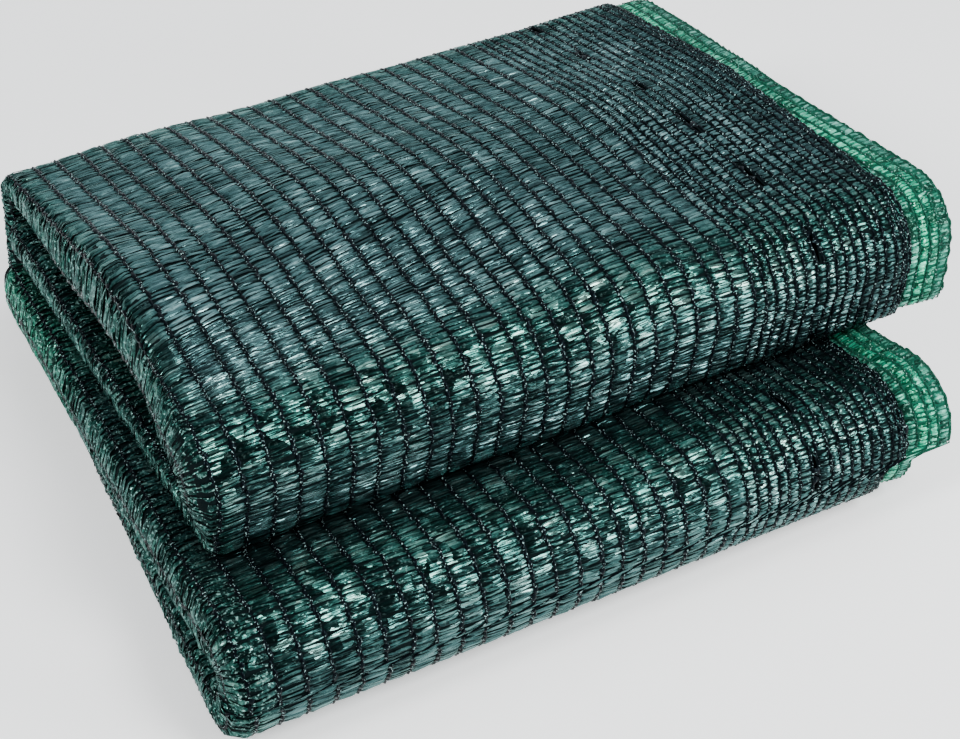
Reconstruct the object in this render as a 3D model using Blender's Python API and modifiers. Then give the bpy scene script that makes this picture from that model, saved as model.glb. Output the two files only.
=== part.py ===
"""Shade cloth, folded for the shelf.

One knitted sheet, dark along one selvedge and light green along the other. Its width
is doubled twice, so a strip of four layers has the two selvedges together on its right
and its closed folds on its left. The strip's two ends are turned in and the whole is
doubled, so that it shows two rolls at the front and one wrap round the back.

Metres, +Z up. The origin is on the surface that the cloth lies on, under its middle.
X runs across the pack from the closed folds to the selvedges, Y runs to the back.
"""

import math

import bmesh
import bpy
import numpy as np
from mathutils import Matrix, Vector

MM = 0.001

SHEET = 1.2 * MM            # knitted tape and chain, as thick as it lies
SETBACK = 9.0 * MM          # inner right fold, short of the dark selvedge
TUCK = 5.0 * MM             # inner left fold, inside the outer one
FOLD_SHARPNESS = 3.0        # 2 is a round fold, more is a pressed one

# The route of the outer layer, seen from the side, is a line with rounded corners.
# One row for each corner, from one turned-in end to the other:
#   y, z          the corner at the fold end of the pack
#   y_edge, z_edge  the same corner at the selvedge end
#   radius        of its rounding, and steps, the faces that it takes
#   run           faces of the straight stretch that leads to the corner
#   fold          X of the closed fold there, at its foremost
#   lean          how far the outer layer's crease stands back from that
#   swell         how much thicker the strip lies at its folds than at its selvedges
#   edge          X of the dark selvedge
#   reach         of the green lip past the dark selvedge
#   rise          share of a pitch by which that lip springs out
#   pitch         from layer to layer
CORNERS = [
    # name              y      z   y_edge z_edge radius steps run fold lean swell edge reach rise pitch
    ("upper end",       221,  42.6,  219,  44.0,    0,   0,   0,    5,   0,  1.0,  262,  14,  0.2,  4.4),
    ("upper roll foot",  30,  41.2,   32,  42.5,    9,   4,   6,    8,   1,  1.1,  268,  20,  0.8,  2.3),
    ("upper roll brow",  32,  79.0,   31,  90.0,   23,   6,   1,    5,   2,  1.7,  270,  20,  0.3,  3.6),
    ("crown",           122,  93.6,  150,  88.0,  190,   3,   2,    8,   5,  1.5,  270,  12,  0.4,  4.6),
    ("back shoulder",   253,  59.5,  246,  70.5,   20,   5,   3,   11,   0,  1.0,  271,  17,  0.7,  2.7),
    ("back foot",       254,   0.6,  250,   0.6,   12,   4,   2,    9,   0,  1.0,  262,  12,  0.2,  2.7),
    ("lower roll foot", -11,   0.6,  -11,   0.6,   21,   5,   6,   -5,   0,  1.0,  233,  13,  0.8,  5.2),
    ("lower roll brow", -14,  47.5,  -14,  49.5,   20,   6,   1,   -4,   1,  1.1,  241,  19,  1.1,  5.4),
    ("crease",           34,  38.7,   36,  40.3,   40,   2,   1,   -3,   1, 1.35,  242,  18,  1.0,  5.0),
    ("lower end",       219,  39.4,  216,  40.8,    0,   0,   5,   -1,   0,  1.5,  243,  14,  0.2,  5.0),
]

# Faces across each part of the folded strip's section.
OUTER_RUN = 6
OUTER_FOLD = 6
INNER_RUN = 4
INNER_FOLD = 4
GREEN_RUN = 6
GREEN_LIP = 3

# Slow waves that keep the pack from lying dead flat: length, height, and where they start.
WAVES = [
    # along_x  along_y  height   phase
    (0.560,    9.000,   0.0014,  0.0),
    (0.190,    0.300,   0.0008,  0.7),
    (0.105,    0.170,   0.0006,  2.1),
    (0.067,    0.410,   0.0004,  4.0),
]
PACK_HEIGHT = 0.089         # where they reach their full height

CLOTH_COLOUR = (0.012, 0.060, 0.050, 1.0)
CLOTH_ROUGHNESS = 0.42


def start_clean():
    """Remove whatever the file opened with."""
    for obj in list(bpy.data.objects):
        bpy.data.objects.remove(obj, do_unlink=True)


def mix(a, b, t):
    return a + (b - a) * t


def turned(vector, angle):
    c, s = math.cos(angle), math.sin(angle)
    return np.array([vector[0] * c - vector[1] * s, vector[0] * s + vector[1] * c])


def rounded_line(points, radii, steps, runs):
    """Stations along a line with rounded corners: place, outward normal and corner count.

    The count is whole on a corner's rounding, and grows evenly along the run between two.
    """
    ahead = [(b - a) / np.linalg.norm(b - a) for a, b in zip(points, points[1:])]
    places = [points[0]]
    headings = [ahead[0]]
    counts = [0.0]
    for k in range(1, len(points)):
        heading = ahead[k - 1]
        turn = 0.0
        if radii[k]:
            cross = heading[0] * ahead[k][1] - heading[1] * ahead[k][0]
            turn = math.atan2(cross, float(heading @ ahead[k]))
        arc_start = points[k] - heading * radii[k] * math.tan(abs(turn) / 2)
        run_start = places[-1]
        for i in range(1, runs[k] + 1):
            places.append(mix(run_start, arc_start, i / runs[k]))
            headings.append(heading)
            counts.append(k - 1 + i / runs[k])
        to_centre = turned(heading, math.copysign(math.pi / 2, turn)) * radii[k]
        for i in range(1, steps[k] + 1):
            angle = turn * i / steps[k]
            places.append(arc_start + to_centre - turned(to_centre, angle))
            headings.append(turned(heading, angle))
            counts.append(float(k))
    outward = [turned(heading, math.pi / 2) for heading in headings]
    return np.array(places), np.array(outward), np.array(counts)


def route(across):
    """The outer layer's route at a share across the pack, 0 at the fold and 1 at the selvedge."""
    points = [np.array([mix(c[1], c[3], across), mix(c[2], c[4], across)]) * MM for c in CORNERS]
    radii = [c[5] * MM for c in CORNERS]
    steps = [c[6] for c in CORNERS]
    runs = [c[7] for c in CORNERS]
    return rounded_line(points, radii, steps, runs)


def arc(centre_x, centre_n, reach, half, side, count):
    """A pressed half turn between two layers, opening to the side given as 1 or -1."""
    points = []
    for i in range(1, count + 1):
        a = math.pi * i / count
        s, c = math.sin(a), math.cos(a)
        out = abs(s) ** (2 / FOLD_SHARPNESS)
        level = math.copysign(abs(c) ** (2 / FOLD_SHARPNESS), c)
        points.append((centre_x + side * reach * out, centre_n + half * level))
    return points


def section(width, lean, lip, rise, pitch):
    """The strip's section: X from the fold, and depth under the outer layer, point by point.

    It runs from the dark selvedge over the outer layer, round the outer fold, along the
    innermost layer, and back twice to the green selvedge just under the outer layer.
    """
    reach = 1.3 * pitch
    small = 0.5 * pitch
    right = width - SETBACK
    left = TUCK + small
    points = [(mix(width, reach + lean, i / OUTER_RUN), 0.0) for i in range(OUTER_RUN + 1)]
    points += [(x + lean * n / (3 * pitch), 3 * pitch - n)
               for x, n in arc(reach, 1.5 * pitch, reach, 1.5 * pitch, -1, OUTER_FOLD)]
    points += [(mix(reach, right, i / INNER_RUN), 3 * pitch) for i in range(1, INNER_RUN + 1)]
    points += arc(right, 2.5 * pitch, small, small, 1, INNER_FOLD)
    points += [(mix(right, left, i / INNER_RUN), 2 * pitch) for i in range(1, INNER_RUN + 1)]
    points += arc(left, 1.5 * pitch, small, small, -1, INNER_FOLD)
    points += [(mix(left, width - small, i / GREEN_RUN), pitch) for i in range(1, GREEN_RUN + 1)]
    for i in range(1, GREEN_LIP + 1):
        t = i / GREEN_LIP
        points.append((mix(width - small, width + lip, t), pitch * (1 - rise * t * (2 - t))))
    return points


def uneven(x, y, z):
    """The lift of the slow waves, nothing at the surface it lies on and full at the top."""
    lift = sum(h * math.sin(2 * math.pi * (x / ax + y / ay) + p) for ax, ay, h, p in WAVES)
    return lift * min(1.0, max(0.0, (z - 2 * SHEET) / PACK_HEIGHT))


def cloth_points():
    """The sheet's middle surface as a grid: one row for each station along the route."""
    counts = route(0.0)[2]
    corner = np.arange(len(CORNERS))
    fold = np.interp(counts, corner, [c[8] for c in CORNERS]) * MM
    lean = np.interp(counts, corner, [c[9] for c in CORNERS]) * MM
    swell = np.interp(counts, corner, [c[10] for c in CORNERS])
    edge = np.interp(counts, corner, [c[11] for c in CORNERS]) * MM
    lip = np.interp(counts, corner, [c[12] for c in CORNERS]) * MM
    rise = np.interp(counts, corner, [c[13] for c in CORNERS])
    pitch = np.interp(counts, corner, [c[14] for c in CORNERS]) * MM
    sections = [section(edge[j] - fold[j], lean[j], lip[j], rise[j], pitch[j]) for j in range(len(counts))]
    rows = [[] for _ in counts]
    for i in range(len(sections[0])):
        for j, points in enumerate(sections):
            x_in, depth = points[i]
            across = min(1.0, max(0.0, x_in / (edge[j] - fold[j])))
            places, outward, _ = route(across)
            depth *= 1 + (swell[j] - 1) * (1 - across) ** 2
            y, z = places[j] - outward[j] * depth
            x = fold[j] + x_in
            rows[j].append((x, y, z + uneven(x, y, z)))
    return rows


def cloth_material():
    """Dark green polyethylene tape with a dull shine."""
    material = bpy.data.materials.new("knitted_tape")
    material.use_nodes = True
    shader = material.node_tree.nodes["Principled BSDF"]
    shader.inputs["Base Color"].default_value = CLOTH_COLOUR
    shader.inputs["Roughness"].default_value = CLOTH_ROUGHNESS
    return material


def build_cloth(collection):
    """The sheet's grid laid on its folds, given its thickness both ways from the middle."""
    rows = cloth_points()
    across = len(rows[0])
    bm = bmesh.new()
    bmesh.ops.create_grid(bm, x_segments=across - 1, y_segments=len(rows) - 1, size=1)
    bm.verts.ensure_lookup_table()
    for k, vert in enumerate(bm.verts):
        vert.co = rows[k // across][k % across]
    mesh = bpy.data.meshes.new("shade_cloth")
    bm.to_mesh(mesh)
    bm.free()
    mesh.materials.append(cloth_material())
    cloth = bpy.data.objects.new("shade_cloth", mesh)
    collection.objects.link(cloth)
    thickness = cloth.modifiers.new("sheet", "SOLIDIFY")
    thickness.thickness = SHEET
    thickness.offset = 0.0
    thickness.use_even_offset = True
    return cloth


def stand_on_origin(cloth):
    """Bring the middle of the cloth's underside to the origin."""
    bpy.context.view_layer.update()
    solid = cloth.evaluated_get(bpy.context.evaluated_depsgraph_get())
    corners = [Vector(corner) for corner in solid.bound_box]
    low, high = corners[0], corners[6]
    foot = Vector(((low.x + high.x) / 2, (low.y + high.y) / 2, low.z))
    cloth.data.transform(Matrix.Translation(-foot))


start_clean()
pack = bpy.data.collections.new("folded_shade_cloth")
bpy.context.scene.collection.children.link(pack)
stand_on_origin(build_cloth(pack))
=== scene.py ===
import math

import bmesh
import bpy
import numpy as np
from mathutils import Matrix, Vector


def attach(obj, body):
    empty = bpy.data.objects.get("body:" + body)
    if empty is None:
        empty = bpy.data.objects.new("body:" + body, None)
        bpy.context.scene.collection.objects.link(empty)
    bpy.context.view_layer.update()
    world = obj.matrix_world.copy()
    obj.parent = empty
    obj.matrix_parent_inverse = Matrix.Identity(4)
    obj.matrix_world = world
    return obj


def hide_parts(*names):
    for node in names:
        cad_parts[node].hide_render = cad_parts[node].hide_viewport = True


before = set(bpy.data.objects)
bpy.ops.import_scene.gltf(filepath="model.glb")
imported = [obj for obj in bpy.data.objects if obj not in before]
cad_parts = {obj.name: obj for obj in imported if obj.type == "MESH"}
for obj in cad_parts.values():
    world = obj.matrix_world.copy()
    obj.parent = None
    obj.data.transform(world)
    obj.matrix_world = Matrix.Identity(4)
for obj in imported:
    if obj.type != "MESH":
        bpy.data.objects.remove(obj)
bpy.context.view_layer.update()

# ---------------------------------------------------------------------------------------
# The camera. It looks down on the pack over the corner where the two front rolls meet the
# closed folds.
MM = 0.001                  # m; sizes are in mm unless they say m
CAMERA_DIP, CAMERA_TURN = 38.31, 28.17  # degrees
camera_lens = bpy.data.cameras.new("camera")
camera_lens.lens = 72.05
camera_lens.sensor_width = 36.0
camera = bpy.data.objects.new("camera", camera_lens)
camera.location = Vector((-262.1, -500.7, 452.7)) * MM
camera.rotation_euler = (math.radians(90 - CAMERA_DIP), 0, math.radians(-CAMERA_TURN))
bpy.context.scene.collection.objects.link(camera)
bpy.context.scene.camera = camera

# ---------------------------------------------------------------------------------------
# The floor. A pale matt sheet runs out of sight under the pack. It glows a little, as a
# white table lit from below does, so that the shadows on it stay soft.
FLOOR_REACH = 4.0           # m from the middle to each side


def new_finish(name, **fixed):
    """A material whose shader holds the values that are the same all over the surface."""
    made = bpy.data.materials.new(name)
    made.use_nodes = True
    shader = made.node_tree.nodes["Principled BSDF"]
    for socket, value in fixed.items():
        shader.inputs[socket.replace("_", " ")].default_value = value
    return made


floor_mesh = bmesh.new()
bmesh.ops.create_grid(floor_mesh, x_segments=1, y_segments=1, size=FLOOR_REACH)
floor_data = bpy.data.meshes.new("floor")
floor_mesh.to_mesh(floor_data)
floor_mesh.free()
floor = bpy.data.objects.new("floor", floor_data)
bpy.context.scene.collection.objects.link(floor)
floor_data.materials.append(new_finish(
    "pale_floor", Base_Color=(0.86, 0.87, 0.87, 1), Roughness=0.8,
    Emission_Color=(1, 1, 1, 1), Emission_Strength=0.6))

# ---------------------------------------------------------------------------------------
# The light. The sky is bright above and behind the pack, where the flat top mirrors it, and
# dim in front. A soft lamp in front lights the rolls' brows. The others fill in from above,
# from low on the right and from the side of the closed folds.


class Thread:
    """An output of a material's node, so that shader maths reads as arithmetic."""

    def __init__(self, socket):
        self.socket = socket

    def node(self, kind, settings=None, output=0, **sockets):
        """Add a node with its settings made first, then its sockets' values or links.

        A socket is given by its name with _ for a space, or as _ and its number. The
        output is given by its name or number.
        """
        made = self.socket.id_data.nodes.new(kind)
        for name, value in (settings or {}).items():
            if name == "stops":
                while len(made.color_ramp.elements) < len(value):
                    made.color_ramp.elements.new(0.5)
                for element, (position, colour) in zip(made.color_ramp.elements, value):
                    element.position = position
                    element.color = (*colour, 1)
            else:
                setattr(made, name, value)
        for name, value in sockets.items():
            key = int(name[1:]) if name[1:].isdigit() else name.replace("_", " ")
            if isinstance(value, Thread):
                self.socket.id_data.links.new(value.socket, made.inputs[key])
            else:
                made.inputs[key].default_value = value
        return Thread(made.outputs[output])

    def feeds(self, socket, shader="Principled BSDF"):
        tree = self.socket.id_data
        tree.links.new(self.socket, tree.nodes[shader].inputs[socket])

    def maths(self, operation, *values):
        return self.node("ShaderNodeMath", {"operation": operation},
                         **{f"_{i}": value for i, value in enumerate(values)})

    def vector(self, operation, **sockets):
        return self.node("ShaderNodeVectorMath", {"operation": operation}, **sockets)

    def ramp(self, *stops):
        """A colour for this value, from stops of a place from 0 to 1 and a colour there."""
        return self.node("ShaderNodeValToRGB", {"stops": stops}, Fac=self)

    def between(self, at_none, at_all):
        """A colour mixed from two by this share from 0 to 1."""
        return self.node("ShaderNodeMix", {"data_type": "RGBA"}, output=2, _0=self, _6=at_none,
                         _7=at_all)

    def axes(self):
        """The two or three numbers of a vector."""
        return [self.node("ShaderNodeSeparateXYZ", output=k, Vector=self) for k in range(3)]

    def __add__(self, other):
        return self.maths("ADD", self, other)

    __radd__ = __add__

    def __mul__(self, other):
        return self.maths("MULTIPLY", self, other)

    __rmul__ = __mul__

    def __sub__(self, other):
        return self.maths("SUBTRACT", self, other)

    def __rsub__(self, other):
        return self.maths("SUBTRACT", other, self)

    def __pow__(self, other):
        return self.maths("POWER", self, other)


sky = bpy.data.worlds.new("pale_sky")
bpy.context.scene.world = sky
sky.use_nodes = True
heavens = Thread(sky.node_tree.nodes.new("ShaderNodeTexCoord").outputs["Generated"])
toward_right, toward_back, toward_top = heavens.axes()
sky_colour = (toward_right * 0.28 + toward_back * 0.50 + toward_top * 0.24 + 0.345).ramp(
    (0.10, (0.07, 0.08, 0.09)), (0.55, (0.15, 0.17, 0.19)), (0.97, (1.32, 1.44, 1.56)))
sky_colour.feeds("Color", shader="Background")

LAMPS = [
    # headings turn from the back towards the right; degrees, m and W
    # name     heading  height  distance  width  power
    ("front",  152,     53,     1.6,      0.62,  26),
    ("over",   40,      70,     1.8,      1.20,  6),
    ("right",  140,     15,     0.95,     0.40,  8),
    ("left",   262,     38,     1.6,      0.40,  20),
]
for name, heading, height, distance, width, power in LAMPS:
    lamp_data = bpy.data.lights.new(name, "AREA")
    lamp_data.shape = "DISK"
    lamp_data.size = width
    lamp_data.energy = power
    lamp = bpy.data.objects.new(name, lamp_data)
    heading, height = math.radians(heading), math.radians(height)
    level = math.cos(height)
    toward = Vector((math.sin(heading) * level, math.cos(heading) * level, math.sin(height)))
    lamp.location = toward * distance
    lamp.rotation_euler = toward.to_track_quat("Z", "Y").to_euler()
    bpy.context.scene.collection.objects.link(lamp)

# ---------------------------------------------------------------------------------------
# The fold from the side. The cloth is one warp-knitted width of polyethylene. Doubled twice
# across, it is a strip of four layers, whose ends are turned in and which is doubled again.
# The corners are those that its outer layer passes on the way from one end to the other.
CORNERS = [
    # y and z in mm, at the folds and then at the selvedges. The corner's rounding with its
    # steps, and the steps of the run before it. The section there: the folds' X and how they
    # lean and swell, the edge's X, the lip's reach and rise, and from layer to layer.
    # name             y    z     y_e  z_e   rad steps run fold lean swell edge reach rise pitch
    ("upper end",       221, 42.6, 219, 44.0,   0,  0,  0,   5,  0, 1.00, 262, 14, 0.2, 4.4),
    ("upper roll foot",  30, 41.2,  32, 42.5,   9, 12, 48,   8,  1, 1.10, 268, 20, 0.8, 2.3),
    ("upper roll brow",  32, 79.0,  31, 90.0,  23, 20,  6,   5,  2, 1.70, 270, 20, 0.3, 3.6),
    ("crown",           122, 93.6, 150, 88.0, 190, 12, 16,   8,  5, 1.50, 270, 12, 0.4, 4.6),
    ("back shoulder",   253, 59.5, 246, 70.5,  20, 20, 24,  11,  0, 1.00, 271, 17, 0.7, 2.7),
    ("back foot",       254,  0.6, 250,  0.6,  12, 14, 12,   9,  0, 1.00, 262, 12, 0.2, 2.7),
    ("lower roll foot", -11,  0.6, -11,  0.6,  21, 20, 60,  -5,  0, 1.00, 233, 13, 0.8, 5.2),
    ("lower roll brow", -14, 47.5, -14, 49.5,  20, 20,  4,  -4,  1, 1.10, 241, 19, 1.1, 5.4),
    ("crease",           34, 38.7,  36, 40.3,  40,  6,  8,  -3,  1, 1.35, 242, 18, 1.0, 5.0),
    ("lower end",       219, 39.4, 216, 40.8,   0,  0, 48,  -1,  0, 1.50, 243, 14, 0.2, 5.0),
]
ROUTES = 25                 # how many views from the side are kept, from folds to selvedges


def mix(a, b, t):
    return a + (b - a) * t


def turned(vector, angle):
    c, s = math.cos(angle), math.sin(angle)
    return np.array([vector[0] * c - vector[1] * s, vector[0] * s + vector[1] * c])


def route(across):
    """The outer layer seen from the side, at a share across the pack, 0 at its folds.

    Returns the places, the outward normals and the count of corners passed, whole on a
    corner's rounding and growing evenly along the run between two.
    """
    points = [np.array([mix(y, y_edge, across), mix(z, z_edge, across)])
              for _, y, z, y_edge, z_edge, *_ in CORNERS]
    ahead = [(b - a) / np.linalg.norm(b - a) for a, b in zip(points, points[1:])]
    places, headings, counts = [points[0]], [ahead[0]], [0.0]
    for k in range(1, len(points)):
        radius, steps, run = CORNERS[k][5:8]
        heading = ahead[k - 1]
        turn = 0.0
        if radius:
            cross = heading[0] * ahead[k][1] - heading[1] * ahead[k][0]
            turn = math.atan2(cross, float(heading @ ahead[k]))
        arc_start = points[k] - heading * radius * math.tan(abs(turn) / 2)
        run_start = places[-1]
        for i in range(1, run + 1):
            places.append(mix(run_start, arc_start, i / run))
            headings.append(heading)
            counts.append(k - 1 + i / run)
        to_centre = turned(heading, math.copysign(math.pi / 2, turn)) * radius
        for i in range(1, steps + 1):
            places.append(arc_start + to_centre - turned(to_centre, turn * i / steps))
            headings.append(turned(heading, turn * i / steps))
            counts.append(float(k))
    outward = [turned(heading, math.pi / 2) for heading in headings]
    return np.array(places), np.array(outward), np.array(counts)


routes = [route(share) for share in np.linspace(0, 1, ROUTES)]
route_places = np.array([places for places, _, _ in routes])
route_outward = np.array([outward for _, outward, _ in routes])
counts = routes[0][2]
middle_steps = np.linalg.norm(np.diff(route_places[ROUTES // 2], axis=0), axis=1)
route_mm = np.concatenate([[0], np.cumsum(middle_steps)])
fold_x, fold_lean, fold_swell, edge_x, lip_reach, lip_rise, layer_pitch = (
    np.interp(counts, np.arange(len(CORNERS)), [corner[k] for corner in CORNERS])
    for k in range(8, 15))

# ---------------------------------------------------------------------------------------
# The fold from the front. Four layers lie over each other: from the dark edge along the top
# to the outer left fold, back below to the inner right fold, out again to the inner left
# fold and home to the green edge, which stands out past the dark one.
SETBACK = 9.0               # mm, the inner right fold stands short of the dark edge
TUCK = 5.0                  # mm, the inner left fold lies inside the outer one
FOLD_REACH = 1.3            # how far the outer fold bulges, in layer pitches
FOLD_SHARPNESS = 3.0        # 2 is a round fold, more is a pressed one
SECTION_COUNTS = [60, 16, 30, 10, 30, 10, 56, 8]  # points, stretch by stretch
BUTTONHOLE_LINE = 37.3      # mm from the dark edge
SLIT_CUT = 0.3              # mm of ground that is missing before it is parted
EDGE_COLUMNS = [0, 9, 18, 27]  # mm from the dark edge, ahead of the slits
FIRST_BODY_COLUMN = 44      # mm from the dark edge, past the slits


def half_turn(centre_x, centre_depth, reach, half, side, count):
    """A pressed fold between two layers, bulging to the side given as 1 or -1."""
    a = np.pi * np.arange(1, count + 1) / count
    out = np.abs(np.sin(a)) ** (2 / FOLD_SHARPNESS)
    level = np.copysign(np.abs(np.cos(a)) ** (2 / FOLD_SHARPNESS), np.cos(a))
    return np.stack([centre_x + side * reach * out, centre_depth + half * level], 1)


def section(width, lean, lip, rise, pitch):
    """X from the fold and depth under the outer layer, from the dark edge to the green one."""
    outer, fold, deep, turn, mid, tuck, green, tip = SECTION_COUNTS
    reach, small = FOLD_REACH * pitch, 0.5 * pitch
    right, left = width - SETBACK, TUCK + small
    first = EDGE_COLUMNS + [BUTTONHOLE_LINE - SLIT_CUT / 2, BUTTONHOLE_LINE + SLIT_CUT / 2]
    body = np.linspace(FIRST_BODY_COLUMN, width - reach - lean, outer + 1 - len(first))
    first = np.array(first + list(body))
    bend = half_turn(reach, 1.5 * pitch, reach, 1.5 * pitch, -1, fold)
    bend[:, 0] += lean * bend[:, 1] / (3 * pitch)
    bend[:, 1] = 3 * pitch - bend[:, 1]

    def run(start, end, depth, count):
        places = mix(start, end, np.arange(1, count + 1) / count)
        return np.stack([places, np.full(count, depth)], 1)

    t = np.arange(1, tip + 1) / tip
    return np.concatenate([
        np.stack([width - first, 0 * first], 1),
        bend,
        run(reach, right, 3 * pitch, deep),
        half_turn(right, 2.5 * pitch, small, small, 1, turn),
        run(right, left, 2 * pitch, mid),
        half_turn(left, 1.5 * pitch, small, small, -1, tuck),
        run(left, width - small, pitch, green),
        np.stack([mix(width - small, width + lip, t), pitch * (1 - rise * t * (2 - t))], 1),
    ])


# ---------------------------------------------------------------------------------------
# The folded cloth as a map. Every place on the flat cloth has its place in the pack, so that
# the ground, the tapes and the chains are laid out flat, as they are knitted, and folded
# together. The pack is a little uneven, but lies flat on the floor.
PACK_MIDDLE = (142.2, 120.4)
PACK_HEIGHT = 89
WAVES_START = 2.4           # mm over the floor, under which nothing is uneven
WAVES = [
    # along_x  along_y  height   phase
    (560,      9000,    1.4,     0.0),
    (190,      300,     0.8,     0.7),
    (105,      170,     0.6,     2.1),
    (67,       410,     0.4,     4.0),
]
FLOOR_GAP = 0.15            # mm, the least height of anything over the floor
CLOTH_REACH = 1090          # mm of section that the map covers, past the longest


def placed(station, x_in, depth):
    """Places in mm of a section's points at one station along the route."""
    share = np.clip(x_in / (edge_x[station] - fold_x[station]), 0, 1)
    depth = depth * (1 + (fold_swell[station] - 1) * (1 - share) ** 2)
    share = share * (ROUTES - 1)
    low = np.minimum(share.astype(int), ROUTES - 2)
    part = (share - low)[:, None]
    spot = mix(route_places[low, station], route_places[low + 1, station], part)
    out = mix(route_outward[low, station], route_outward[low + 1, station], part)
    y, z = (spot - out * depth[:, None]).T
    x = fold_x[station] + x_in
    lift = sum(h * np.sin(2 * np.pi * (x / ax + y / ay) + p) for ax, ay, h, p in WAVES)
    z = z + lift * np.clip((z - WAVES_START) / PACK_HEIGHT, 0, 1)
    return np.stack([x - PACK_MIDDLE[0], y - PACK_MIDDLE[1], z], 1)


cloth_map = np.zeros((len(counts), CLOTH_REACH, 3))
section_mm = []             # distance from the dark edge of each section point, by station
for j in range(len(counts)):
    width = edge_x[j] - fold_x[j]
    points = section(width, fold_lean[j], lip_reach[j], lip_rise[j], layer_pitch[j])
    steps = np.linalg.norm(np.diff(points, axis=0), axis=1)
    run = np.concatenate([[0], np.cumsum(steps)])
    section_mm.append(run)
    every = np.arange(CLOTH_REACH, dtype=float)
    past = np.maximum(every - run[-1], 0)
    last = (points[-1] - points[-2]) / (run[-1] - run[-2])
    x_in = np.interp(every, run, points[:, 0]) + past * last[0]
    depth = np.interp(every, run, points[:, 1]) + past * last[1]
    cloth_map[j] = placed(j, x_in, depth)
section_mm = np.array(section_mm)
cloth_width = section_mm[:, -1]
along_step = np.gradient(cloth_map, axis=0)
across_step = np.gradient(cloth_map, axis=1)
cloth_face = np.cross(along_step, across_step)
cloth_face /= np.linalg.norm(cloth_face, axis=2, keepdims=True)


def folded(across, along, height):
    """Where places on the flat cloth lie once it is folded, in metres.

    All three are in mm: across from the dark edge, along from the upper end, and height
    off the cloth's middle on its outer face.
    """
    j = np.interp(along, route_mm, np.arange(len(route_mm)))
    i = np.clip(across, 0, CLOTH_REACH - 1.001)
    j0 = np.minimum(j.astype(int), len(route_mm) - 2)
    i0 = i.astype(int)
    fj, fi = (j - j0)[..., None], (i - i0)[..., None]

    def read(field):
        here = mix(field[j0, i0], field[j0 + 1, i0], fj)
        beside = mix(field[j0, i0 + 1], field[j0 + 1, i0 + 1], fj)
        return mix(here, beside, fi)

    face = read(cloth_face)
    face /= np.linalg.norm(face, axis=-1, keepdims=True)
    beyond = (across - i)[..., None] * read(across_step)
    spot = read(cloth_map) + beyond + face * height[..., None]
    spot[..., 2] = np.maximum(spot[..., 2], FLOOR_GAP)
    return spot * MM


# ---------------------------------------------------------------------------------------
# The buttonholes. A row of slits is knitted along the dark selvedge, for the ties that the
# cloth is hung by. They lie nearly shut, and push the knit a little aside.
COURSE = 2.83               # mm from stitch to stitch along a chain
BUTTONHOLE_LENGTH = 13.0
BUTTONHOLE_GAPE = 1.5       # mm, how wide the slit stands open in its middle
BUTTONHOLE_PUSH = 3.5       # mm to each side in which the knit is pushed aside
BUTTONHOLES = np.array([    # mm along, the middle of each
    36, 74, 112, 150, 188, 225, 258, 289, 329, 381, 425, 466, 504, 542, 580, 618, 656, 694,
    737, 779, 808, 846, 884, 922, 960,
])


def parted(across, along):
    """Places pushed aside where a buttonhole gapes."""
    for middle in BUTTONHOLES:
        off_middle = (along - middle) / (0.53 * BUTTONHOLE_LENGTH)
        open_here = np.clip(1 - off_middle ** 2, 0, 1)
        aside = across - BUTTONHOLE_LINE
        push = BUTTONHOLE_GAPE * 0.5 * open_here * np.exp(-np.abs(aside) / BUTTONHOLE_PUSH)
        across = across + np.sign(aside) * push
    return across


# ---------------------------------------------------------------------------------------
# The ground of the knit: the whole sheet on its folds, thin and nearly black, which the
# tapes and chains lie on. Its near black is painted shade for the dark gaps of the knit,
# where it shows between the tapes. It is made as a flat grid, folded, and cut open at the
# slits.
SHEET = 0.3                 # mm, the ground alone; the tapes and chains stand on it
GROUND_DYE = [(0, 0.8), (11, 1.0), (17, 0.4), (24, 0.0)]  # mm from the green edge, how green
SLIT_COLUMN = len(EDGE_COLUMNS)
LEAST_ROW = 1.5             # mm from an end or middle of a slit to the next row of the grid


def finished(name, mesh):
    """Link a mesh as a smooth piece that rides on the pack."""
    mesh.shade_smooth()
    piece = bpy.data.objects.new(name, mesh)
    bpy.context.scene.collection.objects.link(piece)
    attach(piece, "root")
    return piece


slit_rows = np.add.outer(BUTTONHOLES, np.array([-0.5, 0, 0.5]) * BUTTONHOLE_LENGTH).ravel()
ground_rows = route_mm[::2]
ground_rows = ground_rows[np.abs(ground_rows[:, None] - slit_rows).min(axis=1) > LEAST_ROW]
ground_rows = np.unique(np.concatenate([[0], ground_rows, route_mm[-1:], slit_rows]))
ground_columns = section_mm.shape[1]
station = np.interp(ground_rows, route_mm, np.arange(len(route_mm)))
before = np.minimum(station.astype(int), len(route_mm) - 2)
ground_across = mix(section_mm[before], section_mm[before + 1], (station - before)[:, None])
ground_along = np.repeat(ground_rows[:, None], ground_columns, 1)
on_the_middle = np.zeros_like(ground_across)
ground_places = folded(parted(ground_across, ground_along), ground_along, on_the_middle)
ground = bmesh.new()
bmesh.ops.create_grid(ground, x_segments=ground_columns - 1, y_segments=len(ground_rows) - 1,
                      size=1)
for vert, place in zip(ground.verts, ground_places.reshape(-1, 3)):
    vert.co = place
weave_map = ground.loops.layers.uv.new("knit")
vert_across, vert_along = ground_across.ravel(), ground_along.ravel()
cuts = []
for face in ground.faces:
    for loop in face.loops:
        k = loop.vert.index
        loop[weave_map].uv = (vert_across[k] * MM, vert_along[k] * MM)
    low = min(vert.index for vert in face.verts)
    high = max(vert.index for vert in face.verts)
    from_slit = np.abs((vert_along[low] + vert_along[high]) / 2 - BUTTONHOLES).min()
    if low % ground_columns == SLIT_COLUMN and from_slit < BUTTONHOLE_LENGTH / 2:
        cuts.append(face)
bmesh.ops.delete(ground, geom=cuts, context="FACES")
ground_mesh = bpy.data.meshes.new("knit_ground")
ground.to_mesh(ground_mesh)
ground.free()
from_green_edge = np.interp(vert_along, route_mm, cloth_width) - vert_across
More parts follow.
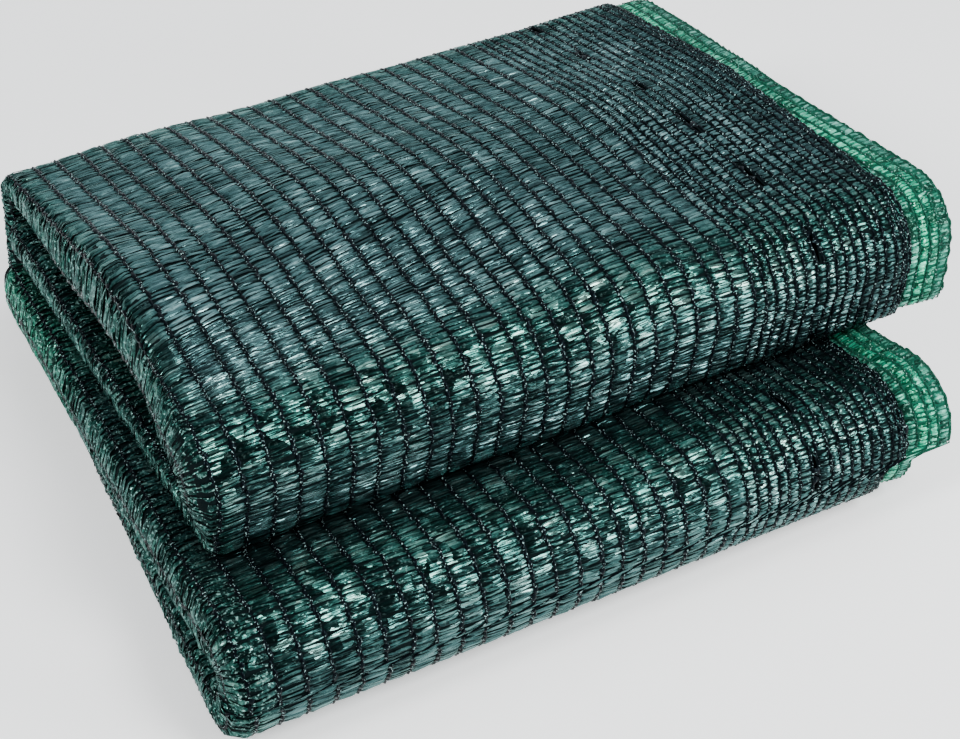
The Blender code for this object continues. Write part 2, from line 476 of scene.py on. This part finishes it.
ground_dye = np.interp(from_green_edge, *zip(*GROUND_DYE))
ground_mesh.attributes.new("dye", "FLOAT", "POINT").data.foreach_set(
    "value", ground_dye.astype(np.float32))
knit_ground = finished("knit_ground", ground_mesh)
body = knit_ground.modifiers.new("sheet", "SOLIDIFY")
body.thickness = SHEET * MM
body.offset = 0.0
body.material_offset = 1


# The ground's finish: black knit with the floats of the tapes drawn on it, rib by rib and
# course by course; the black is painted shade for the gaps between tapes. Under the modelled
# tapes on the outer face it is left bare. The inner face, which the sheet's thickness gives
# the second material, has floats all over.
RIB = 8.9                   # mm from chain to chain where the ground shows
BARE_TO = 0.317             # m from the dark edge, as far as modelled tapes hide the ground


def flat_map(made):
    """The flat map of the cloth, in m from the dark edge and from the upper end."""
    flat = Thread(made.node_tree.nodes.new("ShaderNodeUVMap").outputs[0])
    flat.socket.node.uv_map = "knit"
    return flat


def own_mark(thread, name):
    """A mark that the mesh carries, such as the share of green: dye on the selvedges, and painted
    light where light comes through the film.
    """
    return thread.node("ShaderNodeAttribute", {"attribute_name": name}, output=2)


def ground_knit(name, bare_to=-1.0):
    """Black knit with the floats of the tapes on it, past a place in m from the dark edge."""
    made = new_finish(name, Specular_IOR_Level=0.06)
    flat = flat_map(made)
    uneven = flat.node("ShaderNodeTexNoise", output=1, Vector=flat, Scale=90.0, Detail=1.0)
    uneven = flat.vector("SCALE", Vector=uneven, Scale=0.0016)
    across, along, _ = flat.vector("ADD", _0=flat, _1=uneven).axes()
    between_chains = (across * (1000 * math.pi / RIB)).maths("SINE").maths("ABSOLUTE")
    over_tape = (along * (1000 * math.pi / COURSE)).maths("SINE").maths("ABSOLUTE")
    covered = flat.axes()[0].maths("GREATER_THAN", bare_to)
    tape_here = (between_chains ** 0.6) * (over_tape ** 0.7) * covered
    speckle = flat.node("ShaderNodeTexNoise", Vector=flat, Scale=420.0, Detail=2.0)
    # Painted shade: near black where no float is drawn, for the dark gaps of the knit.
    gap_shade_and_floats = (tape_here * (speckle + 0.35)).ramp(
        (0.0, (0.0012, 0.0045, 0.005)), (0.35, (0.002, 0.010, 0.009)),
        (0.62, (0.008, 0.042, 0.038)), (1.0, (0.045, 0.14, 0.125)))
    own_mark(flat, "dye").between(gap_shade_and_floats, (0.006, 0.085, 0.052, 1)).feeds("Base Color")
    (0.9 - tape_here * 0.62).feeds("Roughness")
    flat.node("ShaderNodeBump", Height=tape_here + speckle * 0.4, Strength=0.8,
              Distance=0.0008).feeds("Normal")
    return made


ground_mesh.materials.append(ground_knit("knit_ground", BARE_TO))
ground_mesh.materials.append(ground_knit("knit_inside"))
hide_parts("shade_cloth")

# ---------------------------------------------------------------------------------------
# The lines of the chains, which the tapes lie between. Next to the dark edge they stand at
# half the distance, and closest at the edge itself. They wander a little from course to
# course, and the two beside a buttonhole are drawn in to its slit.
EDGE_CHAINS = [0.2, 1.6, 3.1]  # mm from the dark edge, the close rows that bind it
EDGE_BAND = (5.8, 4.2, 14)  # mm from the dark edge, from chain to chain, how many spaces
BODY_PITCH = (7.75, 0.06)   # mm from chain to chain, and how much more each next one has
TAPE_REACH = 302            # mm from the dark edge that the laid-in tapes are modelled
CHAIN_WANDER = (0.22, 30)   # mm to the side, and over how many courses it stays alike
CHAIN_JITTER = 0.10         # mm to the side, anew at every course
SLIT_DRAW = 0.62            # how far the chains beside a slit are drawn in to it, at most 1
rng = np.random.default_rng(11)
chain_mm = EDGE_CHAINS + [EDGE_BAND[0] + EDGE_BAND[1] * k for k in range(EDGE_BAND[2] + 1)]
band_spaces = len(chain_mm) - 1
while chain_mm[-1] < TAPE_REACH:
    spaces_past_band = len(chain_mm) - band_spaces - 1
    chain_mm.append(chain_mm[-1] + BODY_PITCH[0] + BODY_PITCH[1] * spaces_past_band)
chain_mm = np.array(chain_mm)
courses = int(route_mm[-1] / COURSE)


def patches(rows, columns, row_reach, column_reach):
    """Uneven values round nothing with a spread of one, alike over a few neighbours."""
    field = rng.normal(size=(rows, columns))
    for axis, reach in ((0, row_reach), (1, column_reach)):
        if reach > 1:
            field = sum(np.roll(field, k, axis) for k in range(reach))
    return field / field.std()


wander = CHAIN_WANDER[0] * patches(courses + 1, len(chain_mm), CHAIN_WANDER[1], 1)
jitter = CHAIN_JITTER * patches(courses + 1, len(chain_mm), 1, 1)
chain_lines = chain_mm + wander + jitter
beside_slit = np.abs(np.arange(courses + 1)[:, None] * COURSE - BUTTONHOLES).min(axis=1)
drawn_in = SLIT_DRAW * np.clip(1.4 - beside_slit / (0.5 * BUTTONHOLE_LENGTH), 0, 1) ** 0.5
past_slit = np.searchsorted(chain_mm, BUTTONHOLE_LINE)
for beside in (past_slit - 1, past_slit):
    chain_lines[:, beside] = mix(chain_lines[:, beside], BUTTONHOLE_LINE, drawn_in)

# ---------------------------------------------------------------------------------------
# The tapes. Between two chains the flat film tape is laid in twice at every course, pinched
# by the stitch at each end and fanned out between, leaning one way and then the other. Over
# the rolls' brows, at the back's shoulder and at the closed folds it is crumpled.
TAPE_FACES = (3, 2)         # along a tape and over its width
# The last crumpled stretch reaches on towards the crease under the upper roll, where its deeper
# green is painted shade.
CRUMPLED_BROWS = [(230, 19), (438, 20), (803, 25)]  # mm along, and how far round it
FILM_REACH = 40             # mm of film that a tape's streaks are taken from
STAMP_STEP = 2.0            # from copy to copy before they are shaped


def strip_shape():
    """One laid-in tape, from 0 to 1 along X and from -1 to 1 over its width."""
    shape = bmesh.new()
    bmesh.ops.create_grid(shape, x_segments=TAPE_FACES[0], y_segments=TAPE_FACES[1], size=1)
    for vert in shape.verts:
        vert.co.x = 0.5 + 0.5 * math.copysign(abs(vert.co.x) ** 0.6, vert.co.x)
    return shape


def field_of(shape, columns, rows):
    """A mesh of copies of one small shape, column after column and row after row."""
    stamp = bpy.data.meshes.new("stamp")
    shape.to_mesh(stamp)
    shape.free()
    holder = bpy.data.objects.new("stamp", stamp)
    bpy.context.scene.collection.objects.link(holder)
    for axis, count in enumerate((columns, rows)):
        copies = holder.modifiers.new("copies", "ARRAY")
        copies.use_relative_offset = False
        copies.use_constant_offset = True
        copies.constant_offset_displace = (STAMP_STEP * (axis == 0), STAMP_STEP * (axis == 1), 0)
        copies.count = count
    ready = holder.evaluated_get(bpy.context.evaluated_depsgraph_get())
    field = bpy.data.meshes.new_from_object(ready)
    bpy.data.objects.remove(holder)
    return field


def shaped(mesh, places, flat_across, flat_along, **marks):
    """Give a field its folded places, its flat cloth map and each copy's own marks."""
    mesh.vertices.foreach_set("co", places.reshape(-1))
    corner_verts = np.zeros(len(mesh.loops), dtype=np.int32)
    mesh.loops.foreach_get("vertex_index", corner_verts)
    flat = np.stack([flat_across.ravel()[corner_verts], flat_along.ravel()[corner_verts]], 1)
    mesh.uv_layers.new(name="knit").data.foreach_set("uv", (flat * MM).astype(np.float32).ravel())
    for name, values in marks.items():
        own = np.broadcast_to(values, flat_across.shape).astype(np.float32).ravel()
        mesh.attributes.new(name, "FLOAT", "POINT").data.foreach_set("value", own)
    mesh.update()


def take_out(mesh, gone):
    """Delete whole copies from a field, marked by row and column."""
    field = bmesh.new()
    field.from_mesh(mesh)
    each = len(field.verts) // gone.size
    field.verts.ensure_lookup_table()
    spent = [field.verts[each * k + n] for k in np.flatnonzero(gone) for n in range(each)]
    bmesh.ops.delete(field, geom=spent, context="VERTS")
    field.to_mesh(mesh)
    field.free()


def past_fold(across, along):
    """How far a place on the cloth is past the start of the outer left fold, in mm."""
    return across - np.interp(along, route_mm, edge_x - fold_x - FOLD_REACH * layer_pitch)


def crumpled(across, along):
    """How crumpled the film is: hardly on the flat, most at the folds and over the brows."""
    brows = sum(np.exp(-((along - brow) / reach) ** 2) for brow, reach in CRUMPLED_BROWS)
    side_fold = np.interp(past_fold(across, along), [-10, 4], [0, 1])
    return np.clip(0.15 + 0.75 * brows, 0, 1) * (1 - side_fold) + side_fold


def dark_face(across, along, height):
    """The outer face, measured from the dark edge, parted at the buttonholes."""
    return folded(parted(across, along), along, height)


def lay_tapes(name, film, lines, face, columns, stretch, width, pinch, gap, lean, dye=0.0,
              darker=0.0):
    """Lay two tapes a course between two and two of the chain lines, on one face.

    columns and stretch are the first space and course and the ones to stop before. width
    is a tape's share of its place, and pinch is what a stitch leaves of it. gap is the mm
    from a chain to the tape's end, and lean the mm that one end lies further along.
    """
    pitch = COURSE / 2
    row = np.arange(2 * stretch[0], 2 * stretch[1])[:, None, None]
    size = (row.shape[0], columns[1] - columns[0])
    outline = np.array([vert.co for vert in strip_shape().verts])
    t, q = outline[:, 0], outline[:, 1]
    fan = 1 - np.abs(2 * t - 1) ** 2.1

    def each():
        return rng.normal(size=size)[..., None]

    # where it lies on the flat cloth
    slope = np.where(row % 2, 1.0, -1.0) * lean * (0.8 + 0.35 * each())
    wide = pitch * 0.5 * width * (1 + 0.16 * each()) * (pinch + (1 - pinch) * fan)
    near = lines[row[:, 0, 0] // 2]
    start = near[:, columns[0]:columns[1], None] + gap
    end = near[:, columns[0] + 1:columns[1] + 1, None] - gap
    across = mix(start, end, t)
    drift = pitch * (0.15 * each() + 0.16 * patches(*size, 5, 2)[..., None] * fan)
    along = (row + 0.5) * pitch + drift + slope * (t - 0.5) + q * wide

    # how it stands off the cloth: bulged, rolled over its width, tilted, and crumpled
    crumple = crumpled(across, along)
    unrest = 1.4 - 0.8 * crumple
    roll = unrest * (0.14 * each() + 0.12 * patches(*size, 3, 1)[..., None])
    tilt = unrest * (0.03 * each() + 0.03 * patches(*size, 4, 1)[..., None])
    lift = 0.08 * each() + 0.08 * patches(*size, 3, 1)[..., None]
    bulge = 0.24 + lift + (0.42 - 0.16 * crumple) * (1 - q * q)
    height = 0.26 + bulge * fan + roll * q * wide * fan
    height = height + 0.16 * crumple * rng.normal(size=across.shape) * (0.3 + 0.7 * fan)
    at_side = np.interp(past_fold(across, along), [-6, 2], [0, 1])
    height = height + at_side * (0.36 + 0.16 * rng.normal(size=across.shape))
    along = along + 0.34 * at_side * rng.normal(size=across.shape)
    height = height + tilt * (across - mix(across[..., :1], across[..., -1:], 0.5)) * fan

    # how light it is: a tone of its own, and painted shade at the stitches and along its
    # sides; darker round the buttonholes too
    tone = 0.5 - darker + 0.17 * each() + 0.08 * patches(*size, 9, 3)[..., None]
    tone = tone - 0.35 * (1 - fan) - 0.22 * q * q
    from_slit = np.abs(along[..., None] - BUTTONHOLES).min(axis=3) / (0.5 * BUTTONHOLE_LENGTH)
    slit_sides = np.exp(-((across - BUTTONHOLE_LINE) / 4.2) ** 2)
    tone = tone - 0.80 * np.clip(2.4 - 2 * from_slit, 0, 1) * slit_sides
    if callable(dye):
        dye = dye(across, along)

    # a place of its own on the film, in mm, so that no two tapes have the same streaks
    own_place = FILM_REACH * rng.random(size=size)[..., None]
    mesh = field_of(strip_shape(), size[1], size[0])
    shaped(mesh, face(across, along, height), across + own_place, along, tone=tone, dye=dye,
           crumple=crumple)
    if face is dark_face:
        middle = along.mean(axis=2)[..., None]
        at_slit = np.abs(middle - BUTTONHOLES).min(axis=2) < 0.5 * BUTTONHOLE_LENGTH
        take_out(mesh, at_slit & (np.arange(*columns) == past_slit - 1))
    tapes = finished(name, mesh)
    mesh.materials.append(film)
    return tapes


# The film of the tapes: thin glossy polyethylene, drawn into streaks along the tape. Where
# it is crumpled it breaks into facets, each with a lean of its own. There each facet is also
# painted lighter or darker as painted light and shade, the film a deeper green as painted
# shade and light through it, and pale specks are painted on as glints.
STREAKS_ALONG = 1300        # per m along the cloth, which is over a tape's width


def film_tape(name, tint, gloss, roughness, glint_paint, facets_per_m, streaks_per_m):
    made = new_finish(name, Metallic=gloss, Roughness=roughness, Specular_Tint=tint,
                      Specular_IOR_Level=0.1)
    flat = flat_map(made)
    drawn = flat.node("ShaderNodeMapping", Vector=flat, Scale=(streaks_per_m, STREAKS_ALONG, 1))
    streaks = flat.node("ShaderNodeTexNoise", Vector=drawn, Scale=1.0, Detail=0.6, Roughness=0.5)
    solid = flat.node("ShaderNodeTexCoord", output="Object")
    facet = flat.node("ShaderNodeTexVoronoi", output=1, Vector=solid, Scale=facets_per_m)
    film_glint_noise = flat.node("ShaderNodeTexNoise", Vector=solid, Scale=900.0, Detail=2.0, Roughness=0.6)
    # Painted glints: pale specks where the noise peaks, on crumpled film and on the green film.
    painted_glints = flat.node("ShaderNodeMapRange", Value=film_glint_noise, From_Min=0.57, From_Max=0.66) * glint_paint
    crumple, tone, dye = (own_mark(flat, mark) for mark in ("crumple", "tone", "dye"))

    # Painted light and shade: each crumpled facet is painted lighter or darker by its own value.
    facet_light_and_shade = (flat.node("ShaderNodeSeparateColor", Color=facet) - 0.30) * crumple * 0.65
    shade = tone * 0.75 + streaks * (1.0 - crumple * 0.5) - 0.30 + facet_light_and_shade
    dark_green = shade.ramp((0.15, (0.013, 0.026, 0.029)), (0.42, (0.033, 0.072, 0.077)),
                            (0.68, (0.084, 0.150, 0.158)), (1.0, (0.19, 0.31, 0.32)))
    # Painted shade and light: where crumpled, the film is painted a darker, deeper green, for the
    # shade between its facets and the light coming through it.
    deep_green_shade_and_glow = shade.ramp((0.15, (0.003, 0.014, 0.012)), (0.42, (0.010, 0.056, 0.046)),
                            (0.68, (0.050, 0.137, 0.112)), (1.0, (0.18, 0.30, 0.245)))
    light_green = shade.ramp((0.15, (0.0005, 0.045, 0.02)), (0.50, (0.016, 0.34, 0.19)),
                             (0.85, (0.20, 0.78, 0.54)))
    dark_green = crumple.between(dark_green, deep_green_shade_and_glow)
    dark_green = (painted_glints * crumple).between(dark_green, (0.20, 0.38, 0.34, 1))
    light_green = painted_glints.between(light_green, (0.30, 0.86, 0.60, 1))
    # Green share: the selvedges' light green dye, and painted light where light comes through the
    # lower roll's loose end.
    dye.between(dark_green, light_green).feeds("Base Color")

    lean = flat.vector("SUBTRACT", _0=facet, _1=(0.5, 0.5, 0.5))
    lean = flat.vector("SCALE", Vector=lean, Scale=crumple * 0.40 + 0.06)
    upright = flat.node("ShaderNodeNewGeometry", output="Normal")
    leaning = flat.vector("NORMALIZE", _0=flat.vector("ADD", _0=upright, _1=lean))
    flat.node("ShaderNodeBump", Height=streaks * (0.72 - crumple * 0.58), Strength=0.9,
              Distance=0.0013, Normal=leaning).feeds("Normal")
    return made


tape_film = film_tape("tape_film", tint=(0.75, 1.0, 0.95, 1), gloss=0.85, roughness=0.18,
                      glint_paint=0.4, facets_per_m=205.0, streaks_per_m=170)
fold_film = film_tape("fold_film", tint=(0.60, 0.85, 0.82, 1), gloss=0.65, roughness=0.24,
                      glint_paint=1.0, facets_per_m=620.0, streaks_per_m=900)
green_film = film_tape("green_film", tint=(0.45, 1.0, 0.80, 1), gloss=0.15, roughness=0.20,
                       glint_paint=0.65, facets_per_m=310.0, streaks_per_m=170)


# The tapes of the dark face, in four widths of the cloth: the bound edge, the selvedge band,
# the body, and the closed folds. Each is laid in two stretches: over the top and down the
# back, and from there under the pack to the lower end.


def painted_glow_through(across, along):
    """Painted light: where light comes through the loose end of the lower roll, a little light
    green.
    """
    near_fold = np.exp(-((past_fold(across, along) - 12) / 16) ** 2)
    return 0.5 * near_fold * np.clip((along - 925) / 60, 0, 1)


bound = len(EDGE_CHAINS)
band_shade = np.interp(np.arange(bound, band_spaces), [bound, 5, 8], [0.14, 0.0, -0.20])[:, None]
last_space = len(chain_mm) - 1
first_under = courses * 11 // 20  # a course on the underside, not far from the back
for end, stretch, fold_mm in (("over", (0, first_under), 250),
                              ("under", (first_under, courses), 226)):
    at_fold = np.searchsorted(chain_mm, fold_mm)
    widths = [
        # name          film       columns                 width pinch gap   lean dye darker
        ("bound_edge", tape_film, (0, bound),             0.90, 0.60, 0.25, 0.2, 0.0,       0.35),
        ("band_tapes", tape_film, (bound, band_spaces),   0.90, 0.50, 0.50, 0.5, 0.0, band_shade),
        ("body_tapes", tape_film, (band_spaces, at_fold), 1.04, 0.48, 0.25, 0.6, painted_glow_through, -0.09),
        ("fold_tapes", fold_film, (at_fold, last_space),  1.00, 0.60, 0.25, 1.2, painted_glow_through, 0.08),
    ]
    for name, film, columns, width, pinch, gap, lean, dye, darker in widths:
        lay_tapes(
            f"{name}_{end}", film, chain_lines, dark_face, columns, stretch, width=width,
            pinch=pinch, gap=gap, lean=lean, dye=dye, darker=darker)

# ---------------------------------------------------------------------------------------
# The chains. Each is one black yarn knitted into a row of loops that holds the tapes, and
# it runs the length of the cloth, over both front rolls and round the back. The yarn is a
# split film too; its small glints are painted on as pale flecks.
STITCH_FACES = (2, 3)       # over a stitch's width and along it
EDGE_GIRTH, BAND_GIRTH, BODY_GIRTH = 0.75, 0.56, 0.80  # mm, half a chain's width
chain_yarn = new_finish("chain_yarn", Roughness=0.24, Specular_IOR_Level=0.05,
                        Specular_Tint=(0.45, 0.85, 1.0, 1))
yarn_map = flat_map(chain_yarn)
yarn_glint_noise = yarn_map.node("ShaderNodeTexNoise", Vector=yarn_map, Scale=1500.0, Detail=1.0)
painted_yarn_glints = yarn_map.node("ShaderNodeMapRange", Value=yarn_glint_noise, From_Min=0.63, From_Max=0.70)
yarn = own_mark(yarn_map, "dye").between((0.0015, 0.0022, 0.0032, 1), (0.008, 0.075, 0.045, 1))
# Painted glints: pale flecks on the black yarn.
painted_yarn_glints.between(yarn, (0.26, 0.40, 0.39, 1)).feeds("Base Color")


def stitch_shape():
    """One loop of chain, before it gets its narrow start, full head and ridge."""
    shape = bmesh.new()
    bmesh.ops.create_grid(shape, x_segments=STITCH_FACES[0], y_segments=STITCH_FACES[1], size=1)
    return shape


def knit_chains(name, lines, thick, face, dye):
    """Knit a chain of stitches along each of the given lines, on one face of the cloth."""
    outline = np.array([vert.co for vert in stitch_shape().verts])
    p, r = outline[:, 0], (outline[:, 1] + 1) / 2
    size = (courses, lines.shape[1])

    def each():
        return rng.normal(size=size)[..., None]

    stitch = np.arange(courses)[:, None, None]
    girth = np.interp(r, [0, 0.34, 0.67, 1.0], [0.35, 0.85, 1.0, 0.30]) * thick[None, :, None]
    sway = np.where(stitch % 2, 0.20, -0.20) + 0.14 * each()
    across = lines[:courses, :, None] + sway + p * girth * (1 + 0.25 * each())
    along = (stitch - 0.15 + 1.3 * r) * COURSE + 0.10 * each()
    rise = np.interp(r, [0, 0.34, 0.67, 1.0], [0.35, 0.85, 1.05, 0.55])
    height = rise - 0.55 * p * p * rise + 0.06 * each()
    mesh = field_of(stitch_shape(), size[1], size[0])
    shaped(mesh, face(across, along, height), across, along, dye=dye)
    chains = finished(name, mesh)
    mesh.materials.append(chain_yarn)
    return chains


chain_girth = np.where(np.arange(len(chain_mm)) < band_spaces, BAND_GIRTH, BODY_GIRTH)
chain_girth[0] = EDGE_GIRTH
dark_chains = knit_chains("dark_chains", chain_lines, chain_girth, dark_face, 0.0)

# ---------------------------------------------------------------------------------------
# The light green selvedge. The last columns of the other edge are knitted from light green
# tape. They lie just under the dark edge and stand out past it, seen from both faces.
GREEN_EDGE = (0.7, 4.2, 6)  # mm from the green edge, from chain to chain, how many spaces
GREEN_GIRTH = 0.34          # mm, half a chain's width
GREEN_TAPE_DYE = [0.34, 0.68, 1.0, 0.42, 0.12, 0.05]
GREEN_CHAIN_DYE = [1, 1, 0.9, 0.8, 0.4, 0, 0]
green_mm = np.array([GREEN_EDGE[0] + GREEN_EDGE[1] * k for k in range(GREEN_EDGE[2] + 1)])
green_lines = green_mm + 0.18 * patches(courses + 1, len(green_mm), 12, 1)


def green_face(side):
    """A face of the cloth measured from the green edge: 1 is the outer face, -1 the inner."""
    return lambda across, along, height: folded(
        np.interp(along, route_mm, cloth_width) - across, along, side * height)


for side, word in ((-1, "top"), (1, "back")):
    lay_tapes(
        f"green_tapes_{word}", green_film, green_lines, green_face(side), (0, GREEN_EDGE[2]),
        (0, courses), width=0.95, pinch=0.62, gap=0.42, lean=0.45,
        dye=np.array(GREEN_TAPE_DYE)[:, None])
    knit_chains(
        f"green_chains_{word}", green_lines, np.full(len(green_mm), GREEN_GIRTH),
        green_face(side), np.array(GREEN_CHAIN_DYE)[:, None])
